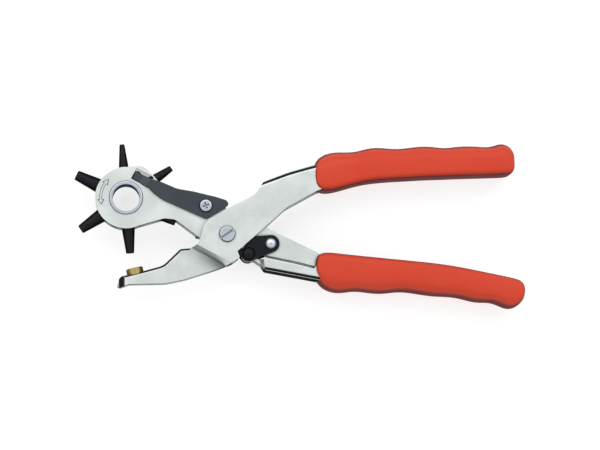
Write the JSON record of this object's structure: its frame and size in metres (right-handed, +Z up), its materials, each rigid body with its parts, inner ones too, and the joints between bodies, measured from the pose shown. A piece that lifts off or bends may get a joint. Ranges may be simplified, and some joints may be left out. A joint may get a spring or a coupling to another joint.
{
  "type": "rotary hole punch",
  "caption": "Hand punch for leather: sprung pliers with a revolving head of tubular punches, a brass anvil, a lock lever and a second lever in the lower handle.",
  "frame": {"origin": "centre of the object's footprint on the surface it lies on, with the jaws open", "axes": "+X from the jaws to the handles along the length, +Y across the open jaws towards the upper handle, +Z up through the thickness, away from the surface"},
  "size_m": [0.2262, 0.0828, 0.0238],
  "materials": {
    "plated_steel": "nickel-plated pressed steel, satin",
    "bright_steel": "bright turned steel",
    "black_oxide_steel": "blackened steel, semi-matt",
    "brass": "turned brass",
    "grip_plastic": "moulded orange-red plastic, satin",
    "spring_steel": "spring wire"
  },
  "bodies": {
    "lower_jaw": {"lower_jaw_frame": "plated_steel", "anvil": "brass", "upper_grip": "grip_plastic", "pivot_bolt": "bright_steel", "pivot_nut": "bright_steel", "pivot_bush": "bright_steel", "thrust_washers": "bright_steel", "transmission_studs": "bright_steel"},
    "upper_jaw": {"upper_jaw_plate_front": "plated_steel", "upper_jaw_plate_rear": "plated_steel", "turret_eyelet": "plated_steel", "jaw_spacers": "bright_steel", "tail_spacer": "bright_steel", "handle_pivot_pin": "bright_steel", "opening_spring": "spring_steel", "lock_screw": "bright_steel", "lock_spring": "spring_steel"},
    "lower_handle": {"lower_handle_channel": "plated_steel", "lower_grip": "grip_plastic", "drive_lever_front": "black_oxide_steel", "drive_lever_rear": "black_oxide_steel", "drive_rivets": "black_oxide_steel"},
    "turret": {"turret_wheel": "black_oxide_steel", "punch_2_0mm": "black_oxide_steel", "punch_2_5mm": "black_oxide_steel", "punch_3_0mm": "black_oxide_steel", "punch_3_5mm": "black_oxide_steel", "punch_4_0mm": "black_oxide_steel", "punch_4_5mm": "black_oxide_steel"},
    "lock_lever": {"lock_lever": "black_oxide_steel"}
  },
  "joints": [
    {"name": "jaw_hinge", "type": "hinge", "parent": "lower_jaw", "child": "upper_jaw", "pos_m": [-0.03637, -0.0047, 0.0119], "axis": [0, 0, 1], "range_deg": [0, 8.9], "stiffness_Nm_per_rad": 0.6, "springref_deg": -17.19},
    {"name": "handle_hinge", "type": "hinge", "parent": "upper_jaw", "child": "lower_handle", "pos_m": [-0.01439, -0.00923, 0.0119], "axis": [0, 0, 1], "range_deg": [-0.1, 3.6]},
    {"name": "turret_spin", "type": "hinge", "parent": "upper_jaw", "child": "turret", "pos_m": [-0.08712, 0.01361, 0.0119], "axis": [0, 0, 1], "continuous": true},
    {"name": "lock_lever_hinge", "type": "hinge", "parent": "upper_jaw", "child": "lock_lever", "pos_m": [-0.04713, 0.00964, 0.0119], "axis": [0, 0, 1], "range_deg": [-1.8, 0], "stiffness_Nm_per_rad": 0.05, "springref_deg": 11.46}
  ],
  "couplings": [
    {"joint": "handle_hinge", "follows": "jaw_hinge", "ratio": 0.39}
  ]
}
